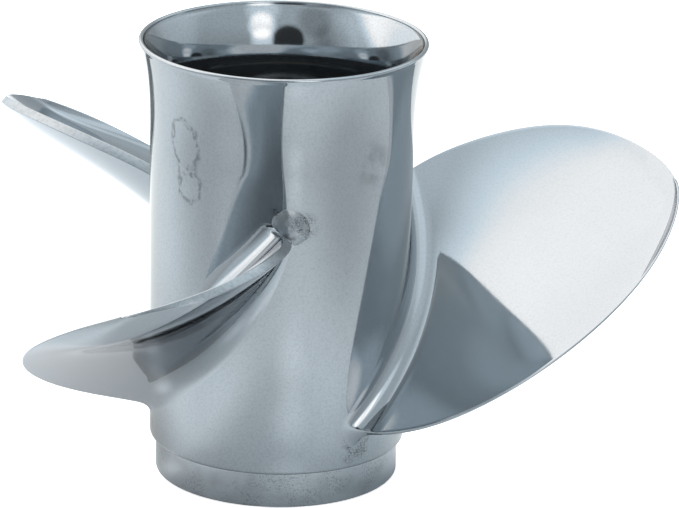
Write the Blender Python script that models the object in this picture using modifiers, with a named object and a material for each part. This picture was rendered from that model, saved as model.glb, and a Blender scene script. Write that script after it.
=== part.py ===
# Three-blade stainless outboard boat propeller with its exhaust passing through the hub.
# It stands on its forward end, so the shaft axis is +Z and the flared aft end is at the top.
# Blender 4.5, metres. Heights are measured from the forward end, then lowered by BALANCE_HEIGHT,
# which puts the origin on the shaft axis at the centroid of the solids.

import math

import bmesh
import bpy
import numpy as np
from mathutils import Matrix, Vector

# Driving dimensions
BALANCE_HEIGHT = 0.0890
GAP = 0.0003
FACET_ALLOWANCE = 0.0001
MERGE_DISTANCE = 0.00001
BLADE_COUNT = 3
TURN_STEPS = 72
INNER_TURN_STEPS = 48

# Outer barrel, with its flared aft end and stepped forward end
BARREL_LENGTH = 0.1957
BARREL_RADIUS = 0.0572
BARREL_FOOT_RADIUS = 0.0559
BARREL_BORE_RADIUS = 0.0525
SHOULDER_ROUNDING = 0.0015
BORE_CHAMFER = 0.002
RING_HEIGHT = 0.0157
RING_RADIUS = 0.0531
RING_BORE_RADIUS = 0.0485
RING_EDGE_ROUNDING = 0.0010
FLARE_START_HEIGHT = 0.150
FLARE_SHARPNESS = 2.6
MOUTH_START_HEIGHT = 0.176
MOUTH_SHARPNESS = 1.3
RIM_RADIUS = 0.0626
RIM_THICKNESS = 0.0024

# Inner hub, its ribs, the rubber bushing and the splined sleeve
INNER_HUB_RADIUS = 0.0320
INNER_HUB_BORE_RADIUS = 0.0268
INNER_HUB_BOTTOM = 0.012
INNER_HUB_TOP = 0.140
INNER_HUB_ROUNDING = 0.0015
RIB_THICKNESS = 0.006
RIB_BOTTOM = 0.022
RIB_TOP = 0.128
RIB_ANGLE = math.radians(95)
BUSHING_BOTTOM = 0.024
BUSHING_TOP = 0.126
BUSHING_ROUNDING = 0.002
SLEEVE_RADIUS = 0.0175
SLEEVE_BOTTOM = 0.016
SLEEVE_TOP = 0.134
SPLINE_TEETH = 15
SPLINE_ROOT_RADIUS = 0.0134
SPLINE_TIP_RADIUS = 0.0122
SPLINE_TOOTH_SHARE = 0.35
SLEEVE_SIDES = 60

# Blades. Fractions run from 0 at the barrel to 1 at the tip.
# Lists hold the values at evenly spaced fractions.
ROOT_RADIUS = 0.057
TIP_RADIUS = 0.1764
FIRST_BLADE_ANGLE = math.radians(-10)
TIP_FULLNESS = 6.4
HALF_WIDTH_DEGREES = (40.3, 39.4, 34.8, 28.1, 21.1, 13.1)
SKEW_DEGREES = (-0.9, 1.9, 5.9, 10.9, 15.6, 19.2)
MID_CHORD_HEIGHT = (0.0776, 0.0855, 0.0940, 0.1046, 0.1155, 0.1253)
PITCH = (0.411, 0.441, 0.469, 0.446)
CAMBER_DEPTH = (0.0029, 0.0022, 0.0045, 0.0093)
CAMBER_LEAN = (0.44, 1.49, -0.92)
THICKNESS = (0.0104, 0.0040)
TRAILING_EDGE_THICKNESS = (0.0047, 0.0036)
LEADING_EDGE_THICKNESS = 0.0018
TIP_THICKNESS = 0.0028
TIP_THINNING_FROM = 0.9
THICKEST_AT = 0.55

# Root fillets, whose radius changes from the leading edge over mid chord to the trailing edge
PRESSURE_FILLET = (0.0060, 0.0125, 0.0080)
SUCTION_FILLET = (0.0030, 0.0100, 0.0025)
LEADING_FILLET = 0.0020
TRAILING_FILLET = 0.0015
FILLET_STATIONS = (0.0, 0.12, 0.3, 0.6, 1.0)
STATION_CROWDING = 2.4
LAST_STATION = 0.9995
BLADE_STATIONS = 11
CHORD_STEPS = 24
ROOT_CAP_STEPS = 4


# Small helpers

def design_curve(values):
    """Smooth function of a fraction through evenly spaced design values."""
    factors = np.polyfit(np.linspace(0, 1, len(values)), values, len(values) - 1)
    return lambda fraction: float(np.polyval(factors, fraction))


def arc(centre, radius, start_degrees, end_degrees, steps):
    """Points of a circular arc in a profile's radius and height plane."""
    points = []
    for step in range(steps + 1):
        angle = math.radians(start_degrees + (end_degrees - start_degrees) * step / steps)
        points.append((centre[0] + radius * math.cos(angle), centre[1] + radius * math.sin(angle)))
    return points


def make_material(name, colour, roughness, metallic):
    material = bpy.data.materials.new(name)
    material.use_nodes = True
    shader = material.node_tree.nodes["Principled BSDF"]
    shader.inputs["Base Color"].default_value = (*colour, 1.0)
    shader.inputs["Roughness"].default_value = roughness
    shader.inputs["Metallic"].default_value = metallic
    material.diffuse_color = (*colour, 1.0)
    return material


def polished_steel(name):
    return make_material(name, (0.63, 0.66, 0.69), 0.16, 1.0)


def cast_steel(name):
    return make_material(name, (0.45, 0.47, 0.49), 0.45, 1.0)


def place(obj, material, collection):
    """Put a finished object in the part's collection, smooth shaded, with its material."""
    for other in list(obj.users_collection):
        other.objects.unlink(obj)
    collection.objects.link(obj)
    obj.data.materials.clear()
    obj.data.materials.append(material)
    obj.location.z -= BALANCE_HEIGHT


def smooth(mesh, sharp_degrees=35):
    mesh.shade_smooth()
    mesh.set_sharp_from_angle(angle=math.radians(sharp_degrees))


def turned(name, profile, material, collection, steps=TURN_STEPS):
    """Turn a closed profile of (radius, height) points about the shaft axis."""
    mesh = bpy.data.meshes.new(name)
    count = len(profile)
    vertices = [(radius, 0.0, height) for radius, height in profile]
    edges = [(index, (index + 1) % count) for index in range(count)]
    mesh.from_pydata(vertices, edges, [])
    obj = bpy.data.objects.new(name, mesh)
    screw = obj.modifiers.new("Turn", "SCREW")
    screw.axis = "Z"
    screw.steps = steps
    screw.render_steps = steps
    screw.use_merge_vertices = True
    screw.merge_threshold = MERGE_DISTANCE
    screw.use_smooth_shade = True
    place(obj, material, collection)
    return obj


# Outer barrel

def barrel_radius(height):
    """Outer radius of the barrel at a height above the forward end."""
    if height > FLARE_START_HEIGHT:
        rise = (height - FLARE_START_HEIGHT) / (BARREL_LENGTH - FLARE_START_HEIGHT)
        return BARREL_RADIUS + (RIM_RADIUS - BARREL_RADIUS) * rise ** FLARE_SHARPNESS
    drop = (FLARE_START_HEIGHT - height) / (FLARE_START_HEIGHT - RING_HEIGHT)
    return BARREL_RADIUS - (BARREL_RADIUS - BARREL_FOOT_RADIUS) * drop


def barrel_profile():
    rim_rounding = RIM_THICKNESS / 2
    rim_centre = (RIM_RADIUS - rim_rounding, BARREL_LENGTH - rim_rounding)
    profile = arc(rim_centre, rim_rounding, 180, 0, 4)
    flare_steps = 6
    for step in range(1, flare_steps):
        height = BARREL_LENGTH - rim_rounding
        height -= (height - FLARE_START_HEIGHT) * step / flare_steps
        profile.append((barrel_radius(height), height))
    profile.append((BARREL_RADIUS, FLARE_START_HEIGHT))
    foot = RING_HEIGHT + GAP
    shoulder_centre = (BARREL_FOOT_RADIUS - SHOULDER_ROUNDING, foot + SHOULDER_ROUNDING)
    profile += arc(shoulder_centre, SHOULDER_ROUNDING, 0, -90, 3)
    profile.append((BARREL_BORE_RADIUS - BORE_CHAMFER, foot))
    profile.append((BARREL_BORE_RADIUS, foot + BORE_CHAMFER))
    profile.append((BARREL_BORE_RADIUS, MOUTH_START_HEIGHT))
    mouth_radius = RIM_RADIUS - RIM_THICKNESS
    mouth_height = BARREL_LENGTH - rim_rounding
    for step in range(1, flare_steps):
        rise = step / flare_steps
        height = MOUTH_START_HEIGHT + (mouth_height - MOUTH_START_HEIGHT) * rise
        opening = (mouth_radius - BARREL_BORE_RADIUS) * rise ** MOUTH_SHARPNESS
        profile.append((BARREL_BORE_RADIUS + opening, height))
    return profile


def forward_ring_profile():
    outer_centre = (RING_RADIUS - RING_EDGE_ROUNDING, RING_EDGE_ROUNDING)
    profile = [(RING_BORE_RADIUS, RING_HEIGHT), (RING_RADIUS, RING_HEIGHT)]
    profile += arc(outer_centre, RING_EDGE_ROUNDING, 0, -90, 2)
    profile.append((RING_BORE_RADIUS, 0.0))
    return profile


def tube_profile(outer, inner, bottom, top, rounding):
    """A tube whose outer edges are rounded."""
    profile = [(inner, top)]
    profile += arc((outer - rounding, top - rounding), rounding, 90, 0, 2)
    profile += arc((outer - rounding, bottom + rounding), rounding, 0, -90, 2)
    profile.append((inner, bottom))
    return profile


# Inner pieces

def make_rib(name, angle, material, collection):
    inner = INNER_HUB_RADIUS + GAP + FACET_ALLOWANCE
    outer = math.sqrt((BARREL_BORE_RADIUS - GAP) ** 2 - (RIB_THICKNESS / 2) ** 2)
    outer -= BARREL_BORE_RADIUS * (1 - math.cos(math.pi / TURN_STEPS))
    bpy.ops.mesh.primitive_cube_add(size=1.0)
    obj = bpy.context.object
    obj.name = name
    obj.data.name = name
    size = Vector((outer - inner, RIB_THICKNESS, RIB_TOP - RIB_BOTTOM))
    obj.data.transform(Matrix.Diagonal((*size, 1.0)))
    obj.data.transform(Matrix.Translation(((outer + inner) / 2, 0, (RIB_TOP + RIB_BOTTOM) / 2)))
    obj.rotation_euler.z = angle
    place(obj, material, collection)
    return obj


def make_sleeve(name, material, collection):
    """Bronze sleeve: a round outline with a splined hole, extruded."""
    curve = bpy.data.curves.new(name, "CURVE")
    curve.dimensions = "2D"
    curve.fill_mode = "BOTH"
    curve.extrude = (SLEEVE_TOP - SLEEVE_BOTTOM) / 2
    side = math.tau / SLEEVE_SIDES
    outline = [(SLEEVE_RADIUS, step * side) for step in range(SLEEVE_SIDES)]
    hole = []
    tooth = math.tau / SPLINE_TEETH
    for index in range(SPLINE_TEETH):
        start = index * tooth
        hole.append((SPLINE_TIP_RADIUS, start))
        hole.append((SPLINE_TIP_RADIUS, start + tooth * SPLINE_TOOTH_SHARE))
        hole.append((SPLINE_ROOT_RADIUS, start + tooth / 2))
        hole.append((SPLINE_ROOT_RADIUS, start + tooth * (SPLINE_TOOTH_SHARE + 0.5)))
    for points in (outline, hole):
        spline = curve.splines.new("POLY")
        spline.points.add(len(points) - 1)
        spline.use_cyclic_u = True
        for point, (radius, angle) in zip(spline.points, points):
            point.co = (radius * math.cos(angle), radius * math.sin(angle), 0.0, 1.0)
    drawn = bpy.data.objects.new(name + "_outline", curve)
    bpy.context.scene.collection.objects.link(drawn)
    evaluated = drawn.evaluated_get(bpy.context.evaluated_depsgraph_get())
    mesh = bpy.data.meshes.new_from_object(evaluated)
    bpy.data.objects.remove(drawn)
    builder = bmesh.new()
    builder.from_mesh(mesh)
    bmesh.ops.remove_doubles(builder, verts=builder.verts, dist=MERGE_DISTANCE)
    bmesh.ops.recalc_face_normals(builder, faces=builder.faces)
    builder.to_mesh(mesh)
    builder.free()
    obj = bpy.data.objects.new(name, mesh)
    obj.location.z = (SLEEVE_TOP + SLEEVE_BOTTOM) / 2
    place(obj, material, collection)
    return obj


# Blades

half_width = design_curve(HALF_WIDTH_DEGREES)
skew = design_curve(SKEW_DEGREES)
mid_chord_height = design_curve(MID_CHORD_HEIGHT)
pitch = design_curve(PITCH)
camber_depth = design_curve(CAMBER_DEPTH)
camber_lean = design_curve(CAMBER_LEAN)
thickest = design_curve(THICKNESS)
blunt_end = design_curve(TRAILING_EDGE_THICKNESS)
pressure_fillet = design_curve(PRESSURE_FILLET)
suction_fillet = design_curve(SUCTION_FILLET)


def thickness_at(chord, fraction):
    """Blade thickness at a place along the chord (0 leading edge, 1 trailing edge)."""
    most = thickest(fraction)
    if chord < THICKEST_AT:
        nose = math.sin(chord / THICKEST_AT * math.pi / 2)
        thickness = LEADING_EDGE_THICKNESS + (most - LEADING_EDGE_THICKNESS) * nose
    else:
        tail = (chord - THICKEST_AT) / (1 - THICKEST_AT)
        thickness = most + (blunt_end(fraction) - most) * tail ** 2
    near_tip = max(fraction - TIP_THINNING_FROM, 0.0) / (1 - TIP_THINNING_FROM)
    near_tip = near_tip ** 2 * (3 - 2 * near_tip)
    return thickness + (TIP_THICKNESS - thickness) * near_tip


def fillet(radius, reach):
    """How far a fillet stands out at a distance from the barrel's surface."""
    depth = max(radius - reach, 0.0)
    return radius - math.sqrt(radius ** 2 - depth ** 2)


def blade_section(fraction, chords):
    """Pressure and suction side points of one section, as (angle, height) pairs."""
    radius = ROOT_RADIUS + (TIP_RADIUS - ROOT_RADIUS) * fraction
    reach = radius - ROOT_RADIUS
    narrowing = math.sqrt(max(1 - fraction ** TIP_FULLNESS, 0.0))
    half_angle = math.radians(half_width(fraction)) * narrowing
    lead = pitch(fraction) / math.tau
    slope = math.atan2(lead, radius)
    pressure = []
    suction = []
    for chord in chords:
        turn = half_angle * (2 * chord - 1)
        angle = math.radians(skew(fraction)) + turn
        bow = 4 * chord * (1 - chord) * (1 + camber_lean(fraction) * (2 * chord - 1))
        height = mid_chord_height(fraction) + lead * turn - camber_depth(fraction) * narrowing * bow
        along = fillet(TRAILING_FILLET, reach) * chord - fillet(LEADING_FILLET, reach) * (1 - chord)
        aft = fillet(pressure_fillet(chord), reach)
        fore = -thickness_at(chord, fraction) - fillet(suction_fillet(chord), reach)
        for side, points in ((aft, pressure), (fore, suction)):
            across = -math.sin(slope) * side + math.cos(slope) * along
            rise = math.cos(slope) * side + math.sin(slope) * along
            points.append((angle + across / radius, height + rise))
    return pressure, suction


def section_point(fraction, place_on_section, blade_angle):
    """Turn an (angle, height) pair on a section into a point in space."""
    angle, height = place_on_section
    radius = ROOT_RADIUS + (TIP_RADIUS - ROOT_RADIUS) * fraction + GAP
    radius += (barrel_radius(height) - ROOT_RADIUS) * (1 - fraction)
    turn = angle + blade_angle
    return Vector((radius * math.cos(turn), radius * math.sin(turn), height))


def station_fractions():
    """Close together in the fillet and towards the round tip."""
    fillet_reach = max(PRESSURE_FILLET) / (TIP_RADIUS - ROOT_RADIUS)
    fractions = [fillet_reach * part for part in FILLET_STATIONS]
    for step in range(1, BLADE_STATIONS + 1):
        share = 1 - (1 - step / BLADE_STATIONS) ** STATION_CROWDING
        fractions.append(fillet_reach + (LAST_STATION - fillet_reach) * share)
    return fractions


def ladder_cap(builder, pressure, suction, steps, flip):
    """Close a section with rows of faces from the pressure side to the suction side."""
    rows = [pressure]
    for step in range(1, steps):
        share = step / steps
        row = []
        for start, end in zip(pressure, suction):
            start_radius = math.hypot(start.co.x, start.co.y)
            end_radius = math.hypot(end.co.x, end.co.y)
            middle = start.co.lerp(end.co, share)
            scale = (start_radius + (end_radius - start_radius) * share) / math.hypot(middle.x, middle.y)
            row.append(builder.verts.new((middle.x * scale, middle.y * scale, middle.z)))
        rows.append(row)
    rows.append(suction)
    for upper, lower in zip(rows, rows[1:]):
        for index in range(len(upper) - 1):
            corners = [upper[index], upper[index + 1], lower[index + 1], lower[index]]
            if flip:
                corners.reverse()
            builder.faces.new(corners)
    return rows


def make_blade(name, blade_angle, material, collection):
    """Loft one blade through its sections, from the barrel's surface out to the tip."""
    chords = []
    for step in range(CHORD_STEPS + 1):
        share = step / CHORD_STEPS
        chords.append((share + (1 - math.cos(math.pi * share)) / 2) / 2)
    builder = bmesh.new()
    rings = []
    for fraction in station_fractions():
        pressure, suction = blade_section(fraction, chords)
        sides = []
        for points in (pressure, suction):
            sides.append([builder.verts.new(section_point(fraction, point, blade_angle))
                          for point in points])
        rings.append(sides)
    root_pressure, root_suction = rings[0]
    root_rows = ladder_cap(builder, root_pressure, root_suction, ROOT_CAP_STEPS, False)
    tip_pressure, tip_suction = rings[-1]
    ladder_cap(builder, tip_pressure, tip_suction, 1, True)
    for inner, outer in zip(rings, rings[1:]):
        for side in (0, 1):
            for index in range(CHORD_STEPS):
                corners = [inner[side][index], inner[side][index + 1],
                           outer[side][index + 1], outer[side][index]]
                if side == 0:
                    corners.reverse()
                builder.faces.new(corners)
    for end in (0, CHORD_STEPS):
        columns = []
        columns.append([row[end] for row in root_rows])
        for sides in rings[1:]:
            columns.append([sides[0][end], sides[1][end]])
        first = columns[0] + [columns[1][1], columns[1][0]]
        if end:
            first.reverse()
        builder.faces.new(first)
        for inner, outer in zip(columns[1:], columns[2:]):
            corners = [inner[0], inner[1], outer[1], outer[0]]
            if end:
                corners.reverse()
            builder.faces.new(corners)
    bmesh.ops.recalc_face_normals(builder, faces=builder.faces)
    mesh = bpy.data.meshes.new(name)
    builder.to_mesh(mesh)
    builder.free()
    smooth(mesh)
    obj = bpy.data.objects.new(name, mesh)
    place(obj, material, collection)
    return obj


def build():
    for obj in list(bpy.data.objects):
        bpy.data.objects.remove(obj)
    collection = bpy.data.collections.new("outboard_propeller")
    bpy.context.scene.collection.children.link(collection)

    turned("barrel", barrel_profile(), polished_steel("barrel"), collection)
    turned("forward_ring", forward_ring_profile(), cast_steel("forward_ring"), collection)
    hub = tube_profile(INNER_HUB_RADIUS, INNER_HUB_BORE_RADIUS, INNER_HUB_BOTTOM, INNER_HUB_TOP,
                       INNER_HUB_ROUNDING)
    turned("inner_hub", hub, cast_steel("inner_hub"), collection, INNER_TURN_STEPS)
    rubber = make_material("rubber_bushing", (0.03, 0.03, 0.03), 0.8, 0.0)
    bushing = tube_profile(INNER_HUB_BORE_RADIUS - GAP - FACET_ALLOWANCE, SLEEVE_RADIUS + GAP,
                           BUSHING_BOTTOM, BUSHING_TOP, BUSHING_ROUNDING)
    turned("rubber_bushing", bushing, rubber, collection, INNER_TURN_STEPS)
    bronze = make_material("splined_sleeve", (0.62, 0.45, 0.24), 0.35, 1.0)
    make_sleeve("splined_sleeve", bronze, collection)

    for index in range(BLADE_COUNT):
        turn = index * math.tau / BLADE_COUNT
        blade_name = f"blade_{index + 1}"
        rib_name = f"rib_{index + 1}"
        make_blade(blade_name, FIRST_BLADE_ANGLE + turn, polished_steel(blade_name), collection)
        make_rib(rib_name, RIB_ANGLE + turn, cast_steel(rib_name), collection)


build()
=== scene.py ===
# Looks of the three-blade outboard boat propeller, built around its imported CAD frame.
# Metres. Heights in the design values are measured up from the forward end, as in the part's source,
# and FOOT lowers them into the frame.

import math

import bmesh
import bpy
import numpy as np
from mathutils import Matrix, Vector, noise


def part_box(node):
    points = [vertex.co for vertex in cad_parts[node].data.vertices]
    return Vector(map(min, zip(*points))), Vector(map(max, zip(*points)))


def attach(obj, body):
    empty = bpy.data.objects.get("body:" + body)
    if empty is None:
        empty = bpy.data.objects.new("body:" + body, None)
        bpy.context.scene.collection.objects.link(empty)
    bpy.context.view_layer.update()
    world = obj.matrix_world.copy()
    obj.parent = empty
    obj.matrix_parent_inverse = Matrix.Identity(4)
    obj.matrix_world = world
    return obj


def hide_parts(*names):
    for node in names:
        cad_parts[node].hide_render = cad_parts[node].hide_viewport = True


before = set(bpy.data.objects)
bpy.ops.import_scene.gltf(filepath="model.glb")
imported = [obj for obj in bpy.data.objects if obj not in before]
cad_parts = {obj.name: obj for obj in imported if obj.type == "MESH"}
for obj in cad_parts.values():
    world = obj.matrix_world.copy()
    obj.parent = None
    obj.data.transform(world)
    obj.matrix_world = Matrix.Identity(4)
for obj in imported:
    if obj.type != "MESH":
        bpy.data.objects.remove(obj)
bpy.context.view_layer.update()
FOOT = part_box("forward_ring")[0].z

# Camera: where it stands, how it is turned and how long its lens is, for a frame 679 pixels wide
FRAME_WIDTH = 679
FOCAL_PIXELS = 4926
SENSOR_WIDTH = 36.0
CAMERA_DISTANCE = 2.0381
CAMERA_HEIGHT = 0.7828
CAMERA_YAW = math.radians(0.732)
CAMERA_PITCH = math.radians(18.558)
CAMERA_ROLL = math.radians(1.346)
CAMERA_SIGHT = 50

# Outer barrel and forward ring
TURN_STEPS = 288
BARREL_LENGTH = 0.1957
BARREL_RADIUS = 0.0572
BARREL_FOOT_RADIUS = 0.0559
BARREL_BORE_RADIUS = 0.0525
BORE_CHAMFER = 0.002
SHOULDER_ROUNDING = 0.0015
RING_HEIGHT = 0.0157
RING_RADIUS = 0.0531
RING_BORE_RADIUS = 0.0485
RING_EDGE_ROUNDING = 0.0010
RING_TOP_ROUNDING = 0.0004
SEAM_GAP = 0.0003
FLARE_START_HEIGHT = 0.150
FLARE_SHARPNESS = 2.6
FLARE_STEPS = 48
WALL_STEPS = 16
MOUTH_START_HEIGHT = 0.1685
MOUTH_SHARPNESS = 1.9
MOUTH_LEAD_IN = 0.003
MOUTH_STEPS = 22
RIM_RADIUS = 0.0626
RIM_THICKNESS = 0.0021

# Inner hub, ribs, bushing and sleeve
INNER_HUB_RADIUS = 0.0320
INNER_HUB_BORE_RADIUS = 0.0268
INNER_HUB_BOTTOM = 0.012
INNER_HUB_TOP = 0.140
INNER_HUB_ROUNDING = 0.0015
BUSHING_BOTTOM = 0.024
BUSHING_TOP = 0.126
BUSHING_ROUNDING = 0.002
SLEEVE_RADIUS = 0.0175
SLEEVE_BOTTOM = 0.016
SLEEVE_TOP = 0.134
SLEEVE_CHAMFER = 0.0006
SPLINE_TEETH = 15
SPLINE_ROOT_RADIUS = 0.0134
SPLINE_TIP_RADIUS = 0.0122
SPLINE_STEEPNESS = 1.6
STEPS_PER_TOOTH = 24
RIB_ANGLE = math.radians(95)
RIB_THICKNESS = 0.006
RIB_BOTTOM = 0.022
RIB_TOP = 0.128
RIB_EDGE_ROUNDING = 0.0022
RIB_FILLET = 0.005
RIB_STATIONS = 28

# Blades. Fractions run from 0 at the barrel to 1 at the tip.
BLADE_COUNT = 3
ROOT_RADIUS = 0.057
TIP_RADIUS = 0.1764
FIRST_BLADE_ANGLE = math.radians(-10)
TIP_FULLNESS = 6.4
HALF_WIDTH_DEGREES = (40.3, 39.4, 34.8, 28.1, 21.1, 13.1)
SKEW_DEGREES = (-0.9, 1.9, 5.9, 10.9, 15.6, 19.2)
MID_CHORD_HEIGHT = (0.0776, 0.0855, 0.0940, 0.1046, 0.1155, 0.1253)
PITCH = (0.411, 0.441, 0.469, 0.446)
CAMBER_DEPTH = (0.0029, 0.0022, 0.0045, 0.0093)
CAMBER_LEAN = (0.44, 1.49, -0.92)
THICKNESS = (0.0104, 0.0040)
TRAILING_EDGE_THICKNESS = (0.0047, 0.0036)
LEADING_EDGE_THICKNESS = (0.0019, 0.0009)
TIP_THICKNESS = (0.0009, 0.0013, 0.0033)
TIP_THINNING_FROM = 0.9
THICKEST_AT = 0.55
LEADING_CORNER = 0.0006
TRAILING_CORNER = 0.0004

# Root fillets, whose radius changes from the leading edge over mid chord to the trailing edge
PRESSURE_FILLET = (0.0105, 0.0125, 0.0112)
SUCTION_FILLET = (0.0030, 0.0100, 0.0025)
LEADING_FILLET = 0.0070
TRAILING_FILLET = 0.0058
FILLET_REACH = max(PRESSURE_FILLET)
BURIED = 0.0004

# Rows and columns of the blade's mesh: rows crowd in the fillet and from NARROW_FROM to the tip
CHORD_STEPS = 84
CHORD_EVENNESS = 0.7
SPAN_STEPS = 64
NARROW_FROM = 0.86
TIP_STEPS = 34
TIP_WIDTH = 0.025
FILLET_STEPS = 14
CORNER_STEPS = 5
HEADING_SMOOTHINGS = 10
# Step for measuring slopes, and the least narrowing that may be divided by
PROBE = 0.0002
LEAST = 1e-9
# How many places before and after the tip the leading edge turns into the trailing edge,
# and how many before it the ground strip of the trailing edge starts
EDGE_BLEND = 20
SATIN_BEYOND_TIP = 12

# Weld cap on the barrel at the trailing end of each blade's root: degrees from the blade's angle,
# height and sizes, the slant in degrees, and how far it stands out
WELD = {"turn": 44.6, "height": 0.1290, "half_width": 0.0080, "half_length": 0.0092, "tilt": 35,
        "depth": 0.0017}
WELD_RINGS = 30
WELD_SECTORS = 96
# Its uneven outline as share, scale and place in the noise, and its lumps as scale per mm and share
WELD_WOBBLE = (0.10, 1.7, 11.61)
WELD_LUMPS = ((0.25, 0.06), (0.9, 0.03))
WELD_LUMPS_AT_EDGE = 0.2
MM_PER_METRE = 1000
# Powers of the fraction from its middle to its edge: its dome, its lumps' fade, and how late it sinks
WELD_SHOULDER = 2.2
WELD_SLOPE = 1.1
WELD_FADE = 6
WELD_SINK = 12

# Marks at every blade: degrees from the blade's angle, height and radius
WELD_MARKS = ((49.8, 0.1290, 0.0086), (37.5, 0.1355, 0.0030), (44.5, 0.1245, 0.0030))
# The groove marks are painted shade where the weld meets the blade's trailing end
WELD_GROOVE_SHADE_MARKS = ((42.3, 0.1252, 0.0026), (43.9, 0.1243, 0.0022), (45.6, 0.1250, 0.0022))
LEADING_MARKS = ((-45.6, 0.0280, 0.0050), (-45.2, 0.0220, 0.0050), (-38.2, 0.0290, 0.0052),
                 (-39.2, 0.0230, 0.0050))
# Pear-shaped water stain on the barrel: degrees, height and radius of its lobes, how far they flow
# together, how much its outline wavers, and the line's width where it is full and where it ends
STAIN_LOBES = ((222.0, 0.1640, 0.0048), (225.5, 0.1575, 0.0050), (226.3, 0.1412, 0.0058))
STAIN_FLOW = 0.020
STAIN_WAVER = 0.0036
STAIN_LINE = (0.0003, 0.0015)
# Smudge on the barrel: degrees, height and radius
SMUDGE = (313.4, 0.1530, 0.0140)

# Metal colours. A thin haze on the polish, as POLISH_METAL, gives it a little diffuse light.
STEEL = (0.392, 0.427, 0.455)
STEEL_DRIFT = (0.365, 0.40, 0.423)
STEEL_GRAIN = (0.31, 0.345, 0.365)
DARK_SPECK = (0.07, 0.08, 0.085)
STAIN = (0.17, 0.19, 0.20)
DULLED = (0.25, 0.275, 0.29)
FAINT_PIT = (0.25, 0.27, 0.28)
GROUND = (0.360, 0.400, 0.425)
GROUND_SCRATCH = (0.26, 0.285, 0.305)
TURNED_LINE = (0.37, 0.395, 0.41)
TURNED_MOTTLE = (0.29, 0.315, 0.33)
TURNED_SPECK = (0.12, 0.135, 0.14)
WELD_METAL = (0.345, 0.378, 0.400)
# Painted shade colour of the groove at the weld
GROOVE_SHADE_COLOUR = (0.10, 0.115, 0.12)
CASTING = (0.17, 0.18, 0.18)
CASTING_SOOT = (0.08, 0.08, 0.075)
BRONZE = (0.40, 0.28, 0.14)
BRONZE_TARNISH = (0.26, 0.18, 0.10)
RUBBER = (0.020, 0.020, 0.022)
RUBBER_DUST = (0.045, 0.044, 0.042)
POLISH_METAL = 0.97
# What is left of each colour in reflections at grazing angles
BARREL_GRAZING = (0.90, 0.87, 0.84)
BLADE_GRAZING = (0.92, 0.92, 0.93)

# Studio by direction, brightness 1 being white paper in full light. Azimuth 0 is towards the camera
# and 90 to its right. A soft wall of light stands behind, a soft ceiling above, the room is dim.
LIGHT_LEVEL = 1.50
COOL_LIGHT = (0.87, 0.95, 1.0)
WARM_LIGHT = (1.06, 1.0, 0.96)
WARM_FROM = 1.05
WARM_TO = 1.35
# The room's brightness below one height of the direction and above another
ROOM_LOW = 0.40
ROOM_HIGH = 0.55
ROOM_LOW_TO = 0.14
ROOM_HIGH_FROM = 0.50
# Azimuth, elevation, full and outer half angles, and brightness added to the room
WALL = (232, 35, 36, 52, 0.78)
CEILING = (215, 72, 6, 40, 0.82)
SIDE_LEFT = (-75, 15, 5, 35, 0.25)
SIDE_RIGHT = (110, 20, 5, 32, 0.20)
SIDE_MIDDLE = (90, 47, 8, 22, 0.22)
SIDE_HIGH = (78, 60, 8, 30, 0.15)
KEY_LOW = (20, 14, 5, 13, 0.60)
KEY_MIDDLE = (21, 26, 6, 14, 0.75)
KEY_HIGH = (21, 40, 4, 16, 0.40)
DARK_STAND = (-4, 14, 10, 16, -0.60)
DARK_CORNER = (-28, 31, 4, 18, -0.22)
DARK_LEFT = (-46, 12, 8, 22, -0.16)
BACK_RIGHT = (130, 38, 4, 18, 0.45)
STUDIO_SPOTS = (SIDE_LEFT, SIDE_RIGHT, SIDE_MIDDLE, SIDE_HIGH, KEY_LOW, KEY_MIDDLE, KEY_HIGH,
                DARK_STAND, DARK_CORNER, DARK_LEFT, BACK_RIGHT)
DARKEST = 0.03

# Softbox: an area light that gives the diffuse surfaces their shading, unseen in the metal
SOFTBOX_PLACE = (-0.25, 0.6, 0.9)
SOFTBOX_TARGET = (0, 0.2, 0)
SOFTBOX_SIZE = 0.8
SOFTBOX_POWER = 9

# Floor: painted light and shade in its base colour, brighter towards the wall of light, with soft painted
# pools of light and one of shade at x, y, radius and amount
FLOOR_SIZE = 8.0
FLOOR_CLEARANCE = 0.0002
FLOOR_ROUGHNESS = 0.9
FLOOR_TINT = (0.97, 0.99, 1.0)
FLOOR_DARK = 0.47
FLOOR_LIGHT = 0.82
FLOOR_TOP = 0.97
FLOOR_FRONT = -0.10
FLOOR_BACK = 0.42
# Painted pools: most lighten the floor's colour as painted light, the negative one darkens it as painted
# shade
FLOOR_PAINTED_POOLS = ((0.03, -0.09, 0.36, 0.49), (-0.16, -0.12, 0.16, 0.08), (0.12, -0.42, 0.28, 0.21),
               (-0.34, 0.06, 0.28, 0.19), (0.36, -0.02, 0.20, 0.11), (-0.08, 0.018, 0.08, -0.22),
               (-0.28, -0.34, 0.20, 0.09))
# Its glow to the camera, and painted glints, glowing spots that the metal sees as highlights: x, y, radius
# and glow
FLOOR_GLOW = 0.70
FLOOR_PAINTED_GLINTS = ((0.012, -0.090, 0.035, 0.20), (0.027, -0.160, 0.055, 0.26),
                (0.045, -0.235, 0.070, 0.20), (0.098, -0.490, 0.090, 0.26),
                (-0.150, -0.020, 0.070, 0.12), (-0.066, -0.018, 0.018, 0.30))


# Object and mesh helpers

def add_object(name, data):
    """A new object in the scene."""
    obj = bpy.data.objects.new(name, data)
    bpy.context.scene.collection.objects.link(obj)
    return obj


def finish_piece(mesh, materials, replaces=()):
    """An object named as its mesh, on the CAD body, with materials and the nodes it stands for."""
    mesh.update()
    obj = add_object(mesh.name, mesh)
    for material in materials:
        obj.data.materials.append(material)
    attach(obj, "root")
    if replaces:
        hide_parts(*replaces)


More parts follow.
